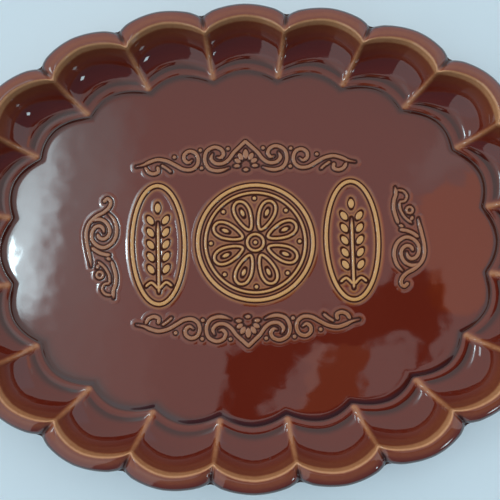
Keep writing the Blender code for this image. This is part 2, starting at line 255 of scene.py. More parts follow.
def shaped(name, line, tree, sizes):
    """The plain mesh that a tree makes from a drawn line. The line and its modifier are removed."""
    modifier = line.modifiers.new("shape", "NODES")
    modifier.node_group = tree
    for item in tree.interface.items_tree:
        if item.in_out == "INPUT" and item.name in sizes:
            modifier[item.identifier] = sizes[item.name]
    graph = bpy.context.evaluated_depsgraph_get()
    mesh = bpy.data.meshes.new_from_object(line.evaluated_get(graph))
    mesh.name = name
    bpy.data.objects.remove(line, do_unlink=True)
    piece = bpy.data.objects.new(name, mesh)
    bpy.context.scene.collection.objects.link(piece)
    mesh.shade_smooth()
    mesh.calc_loop_triangles()
    volume = sum(
        a.dot(b.cross(c)) for a, b, c in
        ([mesh.vertices[i].co for i in corner.vertices] for corner in mesh.loop_triangles)
    ) / 6
    low = [min(v.co[i] for v in mesh.vertices) / MM for i in range(3)]
    high = [max(v.co[i] for v in mesh.vertices) / MM for i in range(3)]
    print(name, len(mesh.loop_triangles), "triangles,", round(volume / MM ** 3 / 1000, 2), "cm3,",
          [round(v, 1) for v in low], [round(v, 1) for v in high])
    return piece


# %% [markdown]
# ## The glaze
# The whole tray has one coat of transparent brown glaze over red clay. It could be given a flat brown,
# but a real glaze "breaks": it runs off sharp edges, where the clay shines through as amber, and gathers
# in hollows, where it is nearly black. So its colours run from the near-black of pooled glaze over two
# browns to amber and gold, and noise makes its borders uneven. The same near-black is also painted shade
# in creases, notches and grooves and along the outer edge, and the top colour of the relief's glazes is
# partly a painted highlight. All noise reads Object coordinates, so the same cloudiness and the same faint
# waves run on from the floor into the relief.

# %% What the noise and the ramp of the glaze share
DEEP_BROWN = (0.129, 0.0145, 0.0065, 1)
RED_BROWN = (0.174, 0.034, 0.0170, 1)
POOL_AND_SHADE_COLOUR = (0.034, 0.0065, 0.0055, 1)
SHADE_MATT_COLOUR = (0.045, 0.0125, 0.0055, 1)
GLAZE_IOR = 1.6
CLOUD_SCALE, SPECK_SCALE = 22.0, 420.0
THIN_SPECKS, THIN_CLOUDS, POOL_CLOUDS = 0.28, 0.10, 0.4
WAVE_SCALE, WAVE_HEIGHT = 55.0, 0.00016
PEEL_SCALE, PEEL_HEIGHT = 900.0, 0.0000016
ROUGHNESS, ROUGHNESS_CLOUDS = 0.022, 0.03


def noise(place, scale, detail=2.0):
    return place.node("ShaderNodeTexNoise", None, {"Vector": place, "Scale": scale, "Detail": detail})


def attribute(wire, name):
    return wire.node("ShaderNodeAttribute", {"attribute_name": name}, out="Fac")


def mixed(share, first, second):
    """The first colour where the share is 0, and the second where it is 1."""
    return share.node("ShaderNodeMix", {"data_type": "RGBA"}, {"Factor": share, 6: first, 7: second}, out=2)


def material_with(name, shader_of):
    """A material whose shader the given function draws, from a wire on its empty tree."""
    material = bpy.data.materials.new(name)
    material.use_nodes = True
    material.node_tree.nodes.clear()
    shader = shader_of(Wire(material.node_tree))
    shader.node("ShaderNodeOutputMaterial", None, {"Surface": shader})
    return material


# %% [markdown]
# Every piece stores three numbers on its surface for the glaze. A colour ramp turns thin into the colours
# that the glaze passes through as it gets thinner. The second number darkens it, for glaze that pools and
# as painted shade. The third is painted shade too: in cuts too narrow to mirror the room it swaps the
# gloss for a dark matt. A picture could hold the same, but it would fit one shape only.

# %% The glaze


def glaze(name, amber, gold):
    """Brown glaze that breaks to these two colours, on an edge and on the very top of it."""

    def shader_of(base):
        place = base.node("ShaderNodeTexCoord", out="Object")
        cloud = noise(place, CLOUD_SCALE)
        speck = noise(place, SPECK_SCALE, 3.0)

        thin = attribute(base, "thin") * (1 - THIN_SPECKS / 2 + THIN_SPECKS * speck)
        thin = thin + (cloud - 0.5) * THIN_CLOUDS
        stops = ((0.0, DEEP_BROWN), (0.3, RED_BROWN), (0.68, amber), (1.0, gold))
        colour = base.node("ShaderNodeValToRGB", {"stops": stops}, {"Fac": thin})
        # Pooled glaze and painted shade: the second number darkens the colour towards one near-black brown.
        pool_and_shade = attribute(base, "pool_and_shade") * (1 - POOL_CLOUDS / 2 + POOL_CLOUDS * cloud)
        colour = mixed(pool_and_shade.smooth(0, 1), colour, POOL_AND_SHADE_COLOUR)

        relief = noise(place, WAVE_SCALE, 1.0) * WAVE_HEIGHT + noise(place, PEEL_SCALE, 1.0) * PEEL_HEIGHT
        bump = base.node("ShaderNodeBump", None, {"Strength": 1.0, "Distance": 1.0, "Height": relief})
        glossy = base.node("ShaderNodeBsdfPrincipled", None, {
            "Base Color": colour, "Roughness": ROUGHNESS + ROUGHNESS_CLOUDS * cloud,
            "IOR": GLAZE_IOR, "Normal": bump})
        # Painted shade: in narrow cuts a dark matt stands in for the gloss that the cut's walls would hide.
        matt = base.node("ShaderNodeBsdfDiffuse", None, {"Color": SHADE_MATT_COLOUR})
        painted_shade = attribute(base, "painted_shade").smooth(0, 1)
        return base.node("ShaderNodeMixShader", None, {0: painted_shade, 1: glossy, 2: matt})

    return material_with(name, shader_of)


brown_glaze = glaze("brown_glaze", (0.30, 0.094, 0.036, 1), (0.56, 0.272, 0.125, 1))
# The top colour of these two relief glazes is partly a painted highlight, made lighter to stand for the
# shine on the bands' rounded tops.
amber_glaze = glaze("amber_glaze", (0.22, 0.068, 0.024, 1), (0.36, 0.150, 0.070, 1))
golden_glaze = glaze("golden_glaze", (0.31, 0.108, 0.027, 1), (0.60, 0.310, 0.105, 1))
print("glazes:", brown_glaze.name, amber_glaze.name, golden_glaze.name)

# %% [markdown]
# ## The body of the tray
# A potter would cut the tray's section out of thin wood and sweep that rib round an oval former. The
# nodes do the same: the section is one drawn line, and the tree carries it round an oval, swelling it
# between the ridges to make the twenty flutes. Modelling one flute and copying it round would not work
# on an oval, because no two flutes have the same curve. A point of the section is given by how far it
# lies outside the well's oval (its growth), how deep its scallops are, and its height, all in mm.

# %% The section of the tray, from the middle of the floor over the rim to the middle of the underside
FLOOR_HEIGHT = 10.5
TRAY_HEIGHT = 35.0
FLOOR_EDGE = -7.8
FLOOR_STEPS = (0, 0.06, 0.14, 0.24, 0.36, 0.48, 0.6, 0.7, 0.79, 0.86, 0.91, 0.95, 0.98, 1)
EDGE_ROLL = ((-6.9, 10.48), (-6.1, 10.42), (-5.3, 10.33), (-4.6, 10.22), (-4.0, 10.12), (-3.6, 10.04),
             (-3.2, 9.98), (-3.0, 9.96), (-2.8, 9.98), (-2.4, 10.06), (-1.9, 10.18), (-1.5, 10.31),
             (-1.1, 10.43), (-0.6, 10.52), (0.0, 10.58), (0.6, 10.62), (1.2, 10.66))
FLUTE_FOOT = 10.6
RIM_SPREAD = 18.0
CREST_ROUNDING = 1.5
LIP_SPREAD = 10.5
LIP_DROP = 6.0
WELL_SCALLOP, CREST_SCALLOP, LIP_SCALLOP = 6.0, 7.0, 5.0
FLUTE_ANGLES, CREST_ANGLES, LIP_ANGLES = range(6, 91, 4), range(10, 91, 16), range(8, 91, 7)


def section_line():
    """(growth of the oval, depth of the scallops, height, reach from the middle) of each point on top."""
    line = [(FLOOR_EDGE, WELL_SCALLOP, FLOOR_HEIGHT, reach) for reach in FLOOR_STEPS]
    line += [(growth, WELL_SCALLOP, height, 1) for growth, height in EDGE_ROLL]
    # The flute is a quarter of an ellipse, flat at its foot and upright at its top.
    flute_height = TRAY_HEIGHT - CREST_ROUNDING - FLUTE_FOOT
    for turn in map(math.radians, FLUTE_ANGLES):
        share = math.sin(turn)
        scallop = WELL_SCALLOP + (CREST_SCALLOP - WELL_SCALLOP) * share
        line.append((RIM_SPREAD * share, scallop, FLUTE_FOOT + flute_height * (1 - math.cos(turn)), 1))
    # The crest is a quarter circle, and outside it the lip rolls down as a quarter of a flat ellipse.
    crest_growth = RIM_SPREAD + CREST_ROUNDING
    for turn in map(math.radians, CREST_ANGLES):
        height = TRAY_HEIGHT - CREST_ROUNDING + CREST_ROUNDING * math.sin(turn)
        line.append((crest_growth - CREST_ROUNDING * math.cos(turn), CREST_SCALLOP, height, 1))
    for turn in map(math.radians, LIP_ANGLES):
        share = math.sin(turn)
        scallop = CREST_SCALLOP + (LIP_SCALLOP - CREST_SCALLOP) * share
        height = TRAY_HEIGHT - LIP_DROP + LIP_DROP * math.cos(turn)
        line.append((crest_growth + LIP_SPREAD * share, scallop, height, 1))
    return line


OUTSIDE = (
    (29.9, 5.0, 28.1), (29.5, 5.0, 27.1), (28.7, 5.0, 26.2), (27.4, 5.0, 25.0), (24.8, 5.2, 22.8),
    (21.1, 5.4, 19.95), (19.0, 5.2, 17.0), (16.6, 4.9, 13.6), (13.6, 4.5, 10.4), (9.6, 3.9, 7.9),
    (5.0, 3.4, 6.3), (0.0, 3.0, 5.5), (-8.0, 2.2, 4.9), (-17.0, 1.1, 4.2), (-25.4, 0.1, 3.5),
)
FOOT_RING = (
    (-26.4, 0.0, 3.3), (-27.0, 0.0, 2.9), (-27.7, 0.0, 0.9), (-28.1, 0.0, 0.25), (-28.8, 0.0, 0.0),
    (-33.6, 0.0, 0.0), (-34.3, 0.0, 0.25), (-34.7, 0.0, 0.9), (-35.3, 0.0, 2.8), (-36.0, 0.0, 3.3),
)
UNDERSIDE_STEPS = (0.9, 0.75, 0.55, 0.35, 0.15, 0)

section = section_line()
upper_points = len(section)
section += [(*spot, 1) for spot in OUTSIDE + FOOT_RING]
section += [(*FOOT_RING[-1], reach) for reach in UNDERSIDE_STEPS]
print("points in the section:", len(section), "of them on top:", upper_points)

# %% [markdown]
# The tree below needs two ovals, one at the well's edge and one at the lip. A point of the dish is found
# on both, at the same share of their length, and then lies between them as far out as the section says.
# Measuring by length keeps all the flutes equally wide, which equal angles would not.

# %% The ovals that the section is carried round
WELL_HALF_LENGTH = 146.0
WELL_HALF_WIDTH = 105.0
FULLNESS = 2.21
OUTER_GROWTH = 30.0
OVAL_STEPS = 1440
LOBES = 20
COLUMNS_PER_LOBE = 36
CROWDING = 0.75
HALF_LOBE, LOBE_SPREAD = 20.4, 0.157
A_HAIR = 0.0001


def oval_curve(wires, growth):
    """A closed curve round the oval, grown by this much, from the end of +Y towards +X."""
    circle = wires["Lobes"].node("GeometryNodeCurvePrimitiveCircle", None, {"Resolution": OVAL_STEPS})
    turn = circle.node("GeometryNodeInputIndex") * (2 * math.pi / OVAL_STEPS)
    sine, cosine = turn.math("SINE", turn), turn.math("COSINE", turn)
    power = wires["Fullness"]
    x_share = abs(sine / (wires["Half length"] + growth)) ** power
    y_share = abs(cosine / (wires["Half width"] + growth)) ** power
    reach = (x_share + y_share) ** (-1 / power)
    place = turn.vector(reach * sine, reach * cosine, 0)
    return circle.node("GeometryNodeSetPosition", None, {"Geometry": circle, "Position": place})


def on_curve(curve, share):
    """The point of the curve at this share of its length."""
    values = {"Curves": curve, "Factor": share}
    return curve.node("GeometryNodeSampleCurve", {"mode": "FACTOR"}, values, out="Position")


def swept_section(wires):
    """The section swept along a circle. Its points note their share of the way, spot, reach and side."""
    lobes, columns = wires["Lobes"], wires["Columns per lobe"]
    way = lobes.node("GeometryNodeCurvePrimitiveCircle", None, {"Resolution": lobes * columns})
    # The columns crowd together at the ridges, where the clay turns most sharply.
    turns = way.node("GeometryNodeInputIndex") / columns + A_HAIR
    along_lobe = turns.math("FRACT", turns)
    crowded = along_lobe - along_lobe.math("SINE", along_lobe * (2 * math.pi)) * (CROWDING / (2 * math.pi))
    way = stored(way, "share", "FLOAT", (turns.math("FLOOR", turns) + crowded) / lobes)
    rib = stored(wires["Geometry"], "spot", "FLOAT_VECTOR", way.node("GeometryNodeInputPosition"))
    rib = stored(rib, "reach", "FLOAT", way.node("GeometryNodeInputRadius"))
    order = rib.node("GeometryNodeInputIndex")
    rib = stored(rib, "upper", "FLOAT", order.math("LESS_THAN", order, wires["Upper points"]))
    return way.node("GeometryNodeCurveToMesh", None, {"Curve": way, "Profile Curve": rib})


# %% [markdown]
# The glaze has to be told where it is thin, where it gathers, and where shade is painted on. Painted by
# hand, that would be lost at the first change of a size, so it comes from the measures that shape the dish:
# how far out a point lies, how high, and how far from the nearest ridge. Going out from the well's edge,
# the floor rolls down at -8 to -3 mm, the flute rises from 0 to 18 mm, and the lip lies beyond 19 mm.

# %% Where the glaze of the dish is thin, where it gathers, and where shade is painted
RIB_THIN, SKIRT_THIN, BEAD_THIN, LIP_THIN = 0.78, 0.42, 0.14, 0.42
CREST_LINE_DEPTH = 1.8
CREST_LINE_SHAPE = (1.5, 0.45)
GROOVE_DARK, CREASE_DARK, TROUGH_DARK, OUTSIDE_DARK, NOTCH_PAINTED_SHADE = 0.8, 0.8, 0.8, 0.9, 0.5
CREASE_START = -8.5
FRONT_LEFT_WEIGHTS = (-0.9, -0.45)


def thin_on_dish(growth, height, from_ridge):
    """The ribs, the crest and the skirt under it, the edge of the floor, and the top of the lip."""
    rib_width = growth.across(-2.0, 5.0, 4.0 * MM, 3.0 * MM)
    rib = from_ridge.smooth(0.7 * MM, rib_width, 1, 0) * growth.across(-3.6, -1.2) * RIB_THIN
    rib = rib * growth.across(19, 21, 1, 0)
    aside = (growth - RIM_SPREAD * MM) * CREST_LINE_SHAPE[0]
    below = (height - (TRAY_HEIGHT - CREST_LINE_DEPTH) * MM) * CREST_LINE_SHAPE[1]
    crest = ((aside ** 2 + below ** 2) ** 0.5).across(0.9, 3.0, 1, 0)
    skirt = growth.across(12.8, 17.5) * growth.across(19, 20, 1, 0) * SKIRT_THIN
    bead = growth.hump(-1.4 * MM, 2.2 * MM) * BEAD_THIN
    lip = growth.across(18.5, 20) * growth.across(22, 28.5, 1, 0) * LIP_THIN
    return rib.most(crest).most(skirt).most(bead).most(lip)


def pool_and_shade_on_dish(growth, from_edge, from_ridge, toward_front_left, painted_shade_reach):
    """Glaze pooled with painted shade in the grooves between the lobes, the floor's rolled edge and the foot
    of the flutes, and painted shade on the hem.
    """
    # Partly glaze pooled in the notches between the lobes, partly painted shade.
    groove = from_ridge.across(0.4, 2.4, 1, 0) * growth.across(20.5, 23) * GROOVE_DARK
    # Partly glaze pooled in the floor's rolled edge, partly painted shade, which reaches furthest in at the
    # front left.
    start = toward_front_left.smooth(0.4, 1.0, CREASE_START * MM, painted_shade_reach)
    crease = from_edge.smooth(start, -3.4 * MM) * growth.across(-3.0, -1.4, 1, 0) * CREASE_DARK
    # Partly glaze pooled at the foot of the flutes, partly painted shade of their steep walls.
    trough = growth.across(0.4, 2.0) * growth.across(2.2, 6, TROUGH_DARK, 0.12)
    trough = trough * growth.across(10, 17, 1, 0) * from_ridge.across(1.6, 5.0)
    # Painted shade along the hem, where the lip rolls over at the outer edge.
    hem = growth.across(25.6, 28.6)
    return groove.most(crease).most(trough).most(hem)


# %% [markdown]
# Now the tree itself. It sweeps the section, finds each point's place between the two ovals, and swells
# the oval between the ridges. The ribs, the notches of the lip and the outset of the floor at the two ends
# are added to the section's own numbers before that, so everything moves together when a size changes.

# %% The tree of the dish
NOTCH_PULL = 0.25
STEEPEST = 0.999
DISH_MERGE = 0.02


def dish_tree():
    tree, wires = new_tree("fluted_dish", (
        ("Half length", "Float", WELL_HALF_LENGTH * MM), ("Half width", "Float", WELL_HALF_WIDTH * MM),
        ("Fullness", "Float", FULLNESS), ("Lobes", "Int", LOBES),
        ("Columns per lobe", "Int", COLUMNS_PER_LOBE), ("Ridge rounding", "Float", 0.055),
        ("Rib half width", "Float", 2.8 * MM), ("Rib height", "Float", 0.8 * MM),
        ("Shoulder half width", "Float", 7.5 * MM), ("Shoulder depth", "Float", 1.3 * MM),
        ("Notch half width", "Float", 2.8 * MM), ("Notch depth", "Float", 1.2 * MM),
        ("End outset", "Float", 2.0 * MM), ("Painted shade reach", "Float", -13.0 * MM),
        ("Upper points", "Int", upper_points), ("Glaze", "Material", None),
    ))
    dish = swept_section(wires)
    share, reach, upper = named(dish, "share"), named(dish, "reach"), named(dish, "upper")
    growth, scallop, height = named(dish, "spot", "FLOAT_VECTOR").parts()

    # How near the point is to a ridge, and how far the flute swells there.
    lobes = wires["Lobes"]
    to_ridge = 1 - abs(share.math("FRACT", share * lobes) * 2 - 1)
    rounding = wires["Ridge rounding"]
    soft = (to_ridge * to_ridge + rounding * rounding) ** 0.5 - rounding
    swell = soft * (2 - soft)
    from_ridge = to_ridge * (HALF_LOBE * MM + growth * LOBE_SPREAD)

    # Each ridge is a rounded rib with a soft inner end, which stands out square from the flutes.
    lean = (growth / (RIM_SPREAD * MM)).most(0).least(STEEPEST)
    upright = (1 - lean * lean) ** 0.5
    rib_end = growth.across(-2.0, 6.5) * growth.across(17.0, 19.6, 1, 0)
    rib_rise = from_ridge.smooth(0, wires["Rib half width"], 1, 0) * rib_end * wires["Rib height"] * upper
    # Outside the crest the lobes of the lip roll down into a notch between them.
    in_notch = from_ridge.smooth(0, wires["Notch half width"], 1, 0) * wires["Notch depth"]
    in_notch = in_notch + from_ridge.smooth(0, wires["Shoulder half width"], 1, 0) * wires["Shoulder depth"]
    notch = in_notch * growth.across(15.5, 20.5) * upper
    grown = growth + scallop * swell - rib_rise * lean - notch * NOTCH_PULL
    height = height + rib_rise * upright - notch

    place = share.math("FRACT", share - 0.5 / lobes + 1)
    outer = OUTER_GROWTH * MM
    near_x, near_y, _ = on_curve(oval_curve(wires, 0.0), place).parts()
    far_x, far_y, _ = on_curve(oval_curve(wires, outer), place).parts()
    # The floor reaches a little further towards the two ends than the oval does.
    to_end = (near_x / wires["Half length"]) ** 2
    near_edge = growth.across(-16, -8) * growth.across(4, 14, 1, 0) * upper
    grown = grown + to_end * near_edge * wires["End outset"]
    x = (near_x + (far_x - near_x) * grown / outer) * reach
    y = (near_y + (far_y - near_y) * grown / outer) * reach

    # How far towards the front left a point lies, where the painted shade of the rolled edge reaches
    # furthest in.
    toward_front_left = near_x / wires["Half length"] * FRONT_LEFT_WEIGHTS[0] + near_y / wires["Half width"] * FRONT_LEFT_WEIGHTS[1]
    from_edge = growth - (1 - reach) * wires["Half width"]
    thin = thin_on_dish(growth, height, from_ridge) * upper
    pool_and_shade = pool_and_shade_on_dish(growth, from_edge, from_ridge, toward_front_left, wires["Painted shade reach"]) * upper
    # Painted shade on the outside, just under the rolled lip.
    pool_and_shade = pool_and_shade.most(growth.across(24, 28) * (1 - upper) * OUTSIDE_DARK)
    # Painted shade in the notches: a dark matt takes the place of the gloss.
    painted_shade = from_ridge.across(0.2, 1.8, 1, 0) * growth.across(20.5, 23.5) * upper * NOTCH_PAINTED_SHADE

    spot = x.vector(x, y, height)
    dish = dish.node("GeometryNodeSetPosition", None, {"Geometry": dish, "Position": spot})
    for name, value in (("thin", thin), ("pool_and_shade", pool_and_shade), ("painted_shade", painted_shade)):
        dish = stored(dish, name, "FLOAT", value)
    dish = without(dish, ("share", "spot", "reach", "upper"))
    dish = dish.node("GeometryNodeMergeByDistance", None, {"Geometry": dish, "Distance": DISH_MERGE * MM})
    dish = dish.node("GeometryNodeFlipFaces", None, {0: dish})
    close_tree(tree, dish, wires["Glaze"])
    return tree


rib = drawn("rib", [([(g * MM, s * MM, h * MM, reach) for g, s, h, reach in section], False)])
dish = shaped("fluted_tray", rib, dish_tree(), {"Glaze": brown_glaze})
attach(dish, "root")
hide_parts("tray_body")

# %% [markdown]
# ## Drawing the relief
# The ornament on the floor was modelled in the clay as rounded bands. Drawing it as curves first keeps it
# easy to change: a band is a list of points with a width, which may thin out towards either end. Petals,
# grains and berries are short bands that swell in their middle, so one tree can raise them all.

# %% Bands and drops
BAND_WIDTH = 2.5
FINE_WIDTH = 2.0
BERRY_WIDTH = 2.6
BAND_TAPER = 0.25
STEP_ALONG = 0.5
DROP_STEPS = 8


def eased(points, closed):
    """A smooth line through the points, in short steps, with how far along each step is."""
    count = len(points)
    spans = count if closed else count - 1
    line = []
    for span in range(spans):
        around = [points[(span + k) % count] if closed else points[min(max(span + k, 0), count - 1)]
                  for k in (-1, 0, 1, 2)]
        before, start, end, after = [Vector(spot) for spot in around]
        steps = max(2, round((end - start).length / STEP_ALONG))
        for step in range(steps):
            t = step / steps
            bend = 2 * before - 5 * start + 4 * end - after
            twist = 3 * start - before - 3 * end + after
            spot = 0.5 * (2 * start + (end - before) * t + bend * t ** 2 + twist * t ** 3)
            line.append((spot, (span + t) / spans))
    if not closed:
        line.append((Vector(points[-1]), 1.0))
    return line


def band(points, width=BAND_WIDTH, ends=(1, 1), closed=False):
    """A band along a smooth line. Its ends may be thinner, as shares of its width."""
    stroke = []
    for spot, share in eased(points, closed):
        size = min(1, ends[0] + share / BAND_TAPER, ends[1] + (1 - share) / BAND_TAPER)
        stroke.append((spot.x, spot.y, (1 if closed else size) * width / 2))
    return stroke, closed


def drop(centre, length, width, turn=0.0):
    """A petal, grain or berry, which points along turn, in degrees from +X."""
    along = Vector((math.cos(math.radians(turn)), math.sin(math.radians(turn))))
    reach = max(length - width, 0.02) / 2
    stroke = []
    for step in range(DROP_STEPS + 1):
        share = 2 * step / DROP_STEPS - 1
        spot = Vector(centre) + along * (reach * share)
        stroke.append((spot.x, spot.y, width / 2 * (1 - 0.75 * share * share * min(1, reach / width * 2))))
    return stroke, False


def ring(centre, radius_x, radius_y, count):
    """Points round an oval."""
    turns = [2 * math.pi * step / count for step in range(count)]
    return [(centre[0] + radius_x * math.sin(t), centre[1] + radius_y * math.cos(t)) for t in turns]


def turned(points, degrees):
    """The points, turned round the origin."""
    cos, sin = math.cos(math.radians(degrees)), math.sin(math.radians(degrees))
    return [(x * cos - y * sin, x * sin + y * cos, *rest) for x, y, *rest in points]


def mirrored(strokes):
    return [([(-x, y, radius) for x, y, radius in points], closed) for points, closed in strokes]


# %% [markdown]
# ## The tree that raises the relief
# Bands could be swept as tubes, but tubes meet the floor at a hard line, and glazed clay never does.
# Here a fine sheet lies on the floor instead, and every point of it asks how far away the nearest band
# is. Inside a band the sheet rises to a flat top with round sides. Right outside it stays down in a groove,
# just above the floor, which is darkened by pooled glaze and painted shade, and further out it lifts to a
# low shoulder that rolls down and ends under the floor. Each band's line is lifted by an amount that
# depends on its width. The nearest lifted line then belongs to the band that really covers the point, so
# wide and fine bands join without steps.

# %% The sheet under the bands
CELL = 0.27
LIFT = 4.0
TYPICAL_RADIUS = 1.2
SPARE_ROOM = 0.7


def lifted_lines(lines):
    """The bands' lines as edges, lifted by what their width leaves of a fixed radius."""
    lines = stored(lines, "half_width", "FLOAT", lines.node("GeometryNodeInputRadius"))
    edges = lines.node("GeometryNodeCurveToMesh", None, {"Curve": lines})
    half_width = named(edges, "half_width")
    return raised(edges, ((LIFT * MM) ** 2 - half_width * half_width) ** 0.5)


def sheet_near(lines, wires, edge):
    """A flat sheet that covers the ground up to this far from the bands. It stores power and away."""
    box = lines.node("GeometryNodeBoundBox", None, {"Geometry": lines})
    low_x, low_y, _ = box.also("Min").parts()
    high_x, high_y, _ = box.also("Max").parts()
    room = edge * 2 + TYPICAL_RADIUS * 2 * MM
    size_x, size_y = high_x - low_x + room, high_y - low_y + room
    sheet = box.node("GeometryNodeMeshGrid", None, {
        "Size X": size_x, "Size Y": size_y,
        "Vertices X": size_x / wires["Cell"], "Vertices Y": size_y / wires["Cell"]})
    middle = box.vector((low_x + high_x) / 2, (low_y + high_y) / 2, 0)
    sheet = sheet.node("GeometryNodeTransform", None, {"Geometry": sheet, "Translation": middle})

    # Power is below 0 inside a band. Away is how far outside it a point lies, and 0 inside.
    settings = {"target_element": "EDGES"}
    nearest = sheet.node("GeometryNodeProximity", settings, {0: lifted_lines(lines)}, out="Distance")
    power = nearest * nearest - (LIFT * MM) ** 2
    typical = TYPICAL_RADIUS * MM
    sheet = stored(sheet, "power", "FLOAT", power)
    sheet = stored(sheet, "away", "FLOAT", (power.most(0) + typical * typical) ** 0.5 - typical)
    away = named(sheet, "away")
    cut = {"Geometry": sheet, "Selection": away.math("GREATER_THAN", away, edge)}
    return sheet.node("GeometryNodeDeleteGeometry", {"domain": "FACE", "mode": "ALL"}, cut)


# %% [markdown]
# The sheet's height is one sum of soft steps, each of which starts or ends at a named distance from the
# band. The same distances tell the glaze where it is thin, lightest in the middle of a band's top, which
# is partly a painted highlight, and where the groove gets pooled glaze and painted shade. The top and a
# flat copy of it, turned over below the floor, are joined at their rims, with small gaps out of sight left
# at the rim's inner corners.

# %% The relief tree
SIDE_RADIUS = 0.92
BAND_HEIGHT = 0.7
GROOVE_WIDTH = 1.0
GROOVE_RISE = 0.05
SHOULDER_HEIGHT = 0.16
SHOULDER_WIDTH = 2.4
SINK = 0.3
SHEET_BASE = 0.5
SHEET_MERGE = 0.01


def relief_tree():
    tree, wires = new_tree("moulded_relief", (
        ("Cell", "Float", CELL * MM), ("Floor", "Float", FLOOR_HEIGHT * MM),
        ("Band height", "Float", BAND_HEIGHT * MM), ("Groove width", "Float", GROOVE_WIDTH * MM),
        ("Groove rise", "Float", GROOVE_RISE * MM), ("Shoulder height", "Float", SHOULDER_HEIGHT * MM),
        ("Shoulder width", "Float", SHOULDER_WIDTH * MM), ("Groove shade", "Float", 0.5),
        ("Glow", "Float", 0.4), ("Glaze", "Material", None),
    ))
    groove, shoulder = wires["Groove width"], wires["Shoulder width"]
    edge = groove + shoulder + SPARE_ROOM * MM
    sheet = sheet_near(wires["Geometry"], wires, edge)
    away, power = named(sheet, "away"), named(sheet, "power")

    bank = away.smooth(groove * 0.3, groove * 1.1, wires["Groove rise"], wires["Shoulder height"])
    fall = away.smooth(groove, groove + shoulder, 0, wires["Shoulder height"])
    under = away.smooth(groove + shoulder * 0.8, edge, 0, SINK * MM)
    share = (-1 * power / (SIDE_RADIUS * MM) ** 2).most(0).least(1)
    height = bank - fall - under + share * (2 - share) * wires["Band height"]
    blur = {"Value": height, "Iterations": 1}
    height = height.node("GeometryNodeBlurAttribute", {"data_type": "FLOAT"}, blur)

    glow = away.smooth(groove, groove + shoulder, 1, 0) * away.smooth(groove * 0.6, groove) * wires["Glow"]
    # Painted shade in the groove along each band, which is also stored as its pooled glaze.
    painted_shade = away.smooth(groove * 0.3, groove, 1, 0) * share.smooth(0.0, 0.4, 1, 0)
    # The band's top is thin glaze, lightest in its middle, partly as a painted highlight.
    top = stored(sheet, "thin", "FLOAT", share.smooth(0.1, 1.0).most(glow))
    top = stored(top, "pool_and_shade", "FLOAT", painted_shade)
    top = stored(top, "painted_shade", "FLOAT", painted_shade * wires["Groove shade"])
    top = raised(top, height + wires["Floor"])

    # The rim of the top goes straight down to the rim of the bottom, and there the two are merged.
    # A point at an inner corner of the rim isn't picked by this, and stays up.
    base = wires["Floor"] - SHEET_BASE * MM
    faces_beside = sheet.node("GeometryNodeInputMeshEdgeNeighbors")
    rim = faces_beside.math("COMPARE", faces_beside, 1, 0.1)
    x, y, _ = top.node("GeometryNodeInputPosition").parts()
    lowered = {"Geometry": top, "Selection": rim, "Position": base.vector(x, y, base)}
    top = top.node("GeometryNodeSetPosition", None, lowered)
    bottom = raised(sheet, base)
    bottom = bottom.node("GeometryNodeFlipFaces", None, {0: bottom})
    both = top.node("GeometryNodeJoinGeometry", None, {0: top})
    tree.links.new(bottom.socket, both.socket.node.inputs[0])
    both = without(both, ("half_width", "power", "away"))
    both = both.node("GeometryNodeMergeByDistance", None, {"Geometry": both, "Distance": SHEET_MERGE * MM})
    close_tree(tree, both, wires["Glaze"])
    return tree


raise_relief = relief_tree()
print("nodes in the relief tree:", len(raise_relief.nodes))

# %% [markdown]
# A sprig is one moulded ornament: its strokes, its place on the floor and its finish. The outer scrolls
# are amber with lighter painted shade in their grooves, and the middle row is more golden, with grooves
# painted nearly black.

# %% A sprig and its finish
AMBER_FINISH = (amber_glaze, "amber_glaze", {"Groove shade": 0.70, "Glow": 0.42})
GOLDEN_FINISH = (golden_glaze, "golden_glaze", {"Groove shade": 0.92, "Glow": 0.66})


def sprig(name, strokes, place, turn, finish, cell=CELL):
    """Raises these strokes out of the floor at their place, as the piece that stands for the node."""
    material, slot, look = finish
    lines = []
    for points, closed in strokes:
        lines.append(([((place[0] + x) * MM, (place[1] + y) * MM, 0, radius * MM)
                       for x, y, radius in turned(points, turn)], closed))
    sizes = {"Glaze": material, "Cell": cell * MM, **look}
    piece = shaped("relief_of_" + name, drawn(name, lines), raise_relief, sizes)
    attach(piece, "root")
    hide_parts(name)
    return piece


# %% [markdown]
# ## The long scroll
# The same scroll lies above and below the middle row, the lower one turned half round. On the real tray
# both would come out of one mould. Only its right half is drawn, with the palmette in the middle, and the
# other half is its mirror image, so the two sides can't drift apart.

# %% The long scroll
SCROLL_BERRIES = ((10.7, 12.1), (27.6, 11.5), (27.0, 0.5), (43.4, 7.6))
PALMETTE_PETALS = ((0, 9.2, 3.6), (30, 7.8, 3.2), (60, 6.8, 3.0), (92, 6.2, 2.6))
PALMETTE_HEART = (0.0, 1.6)
PETAL_GAP = 2.4


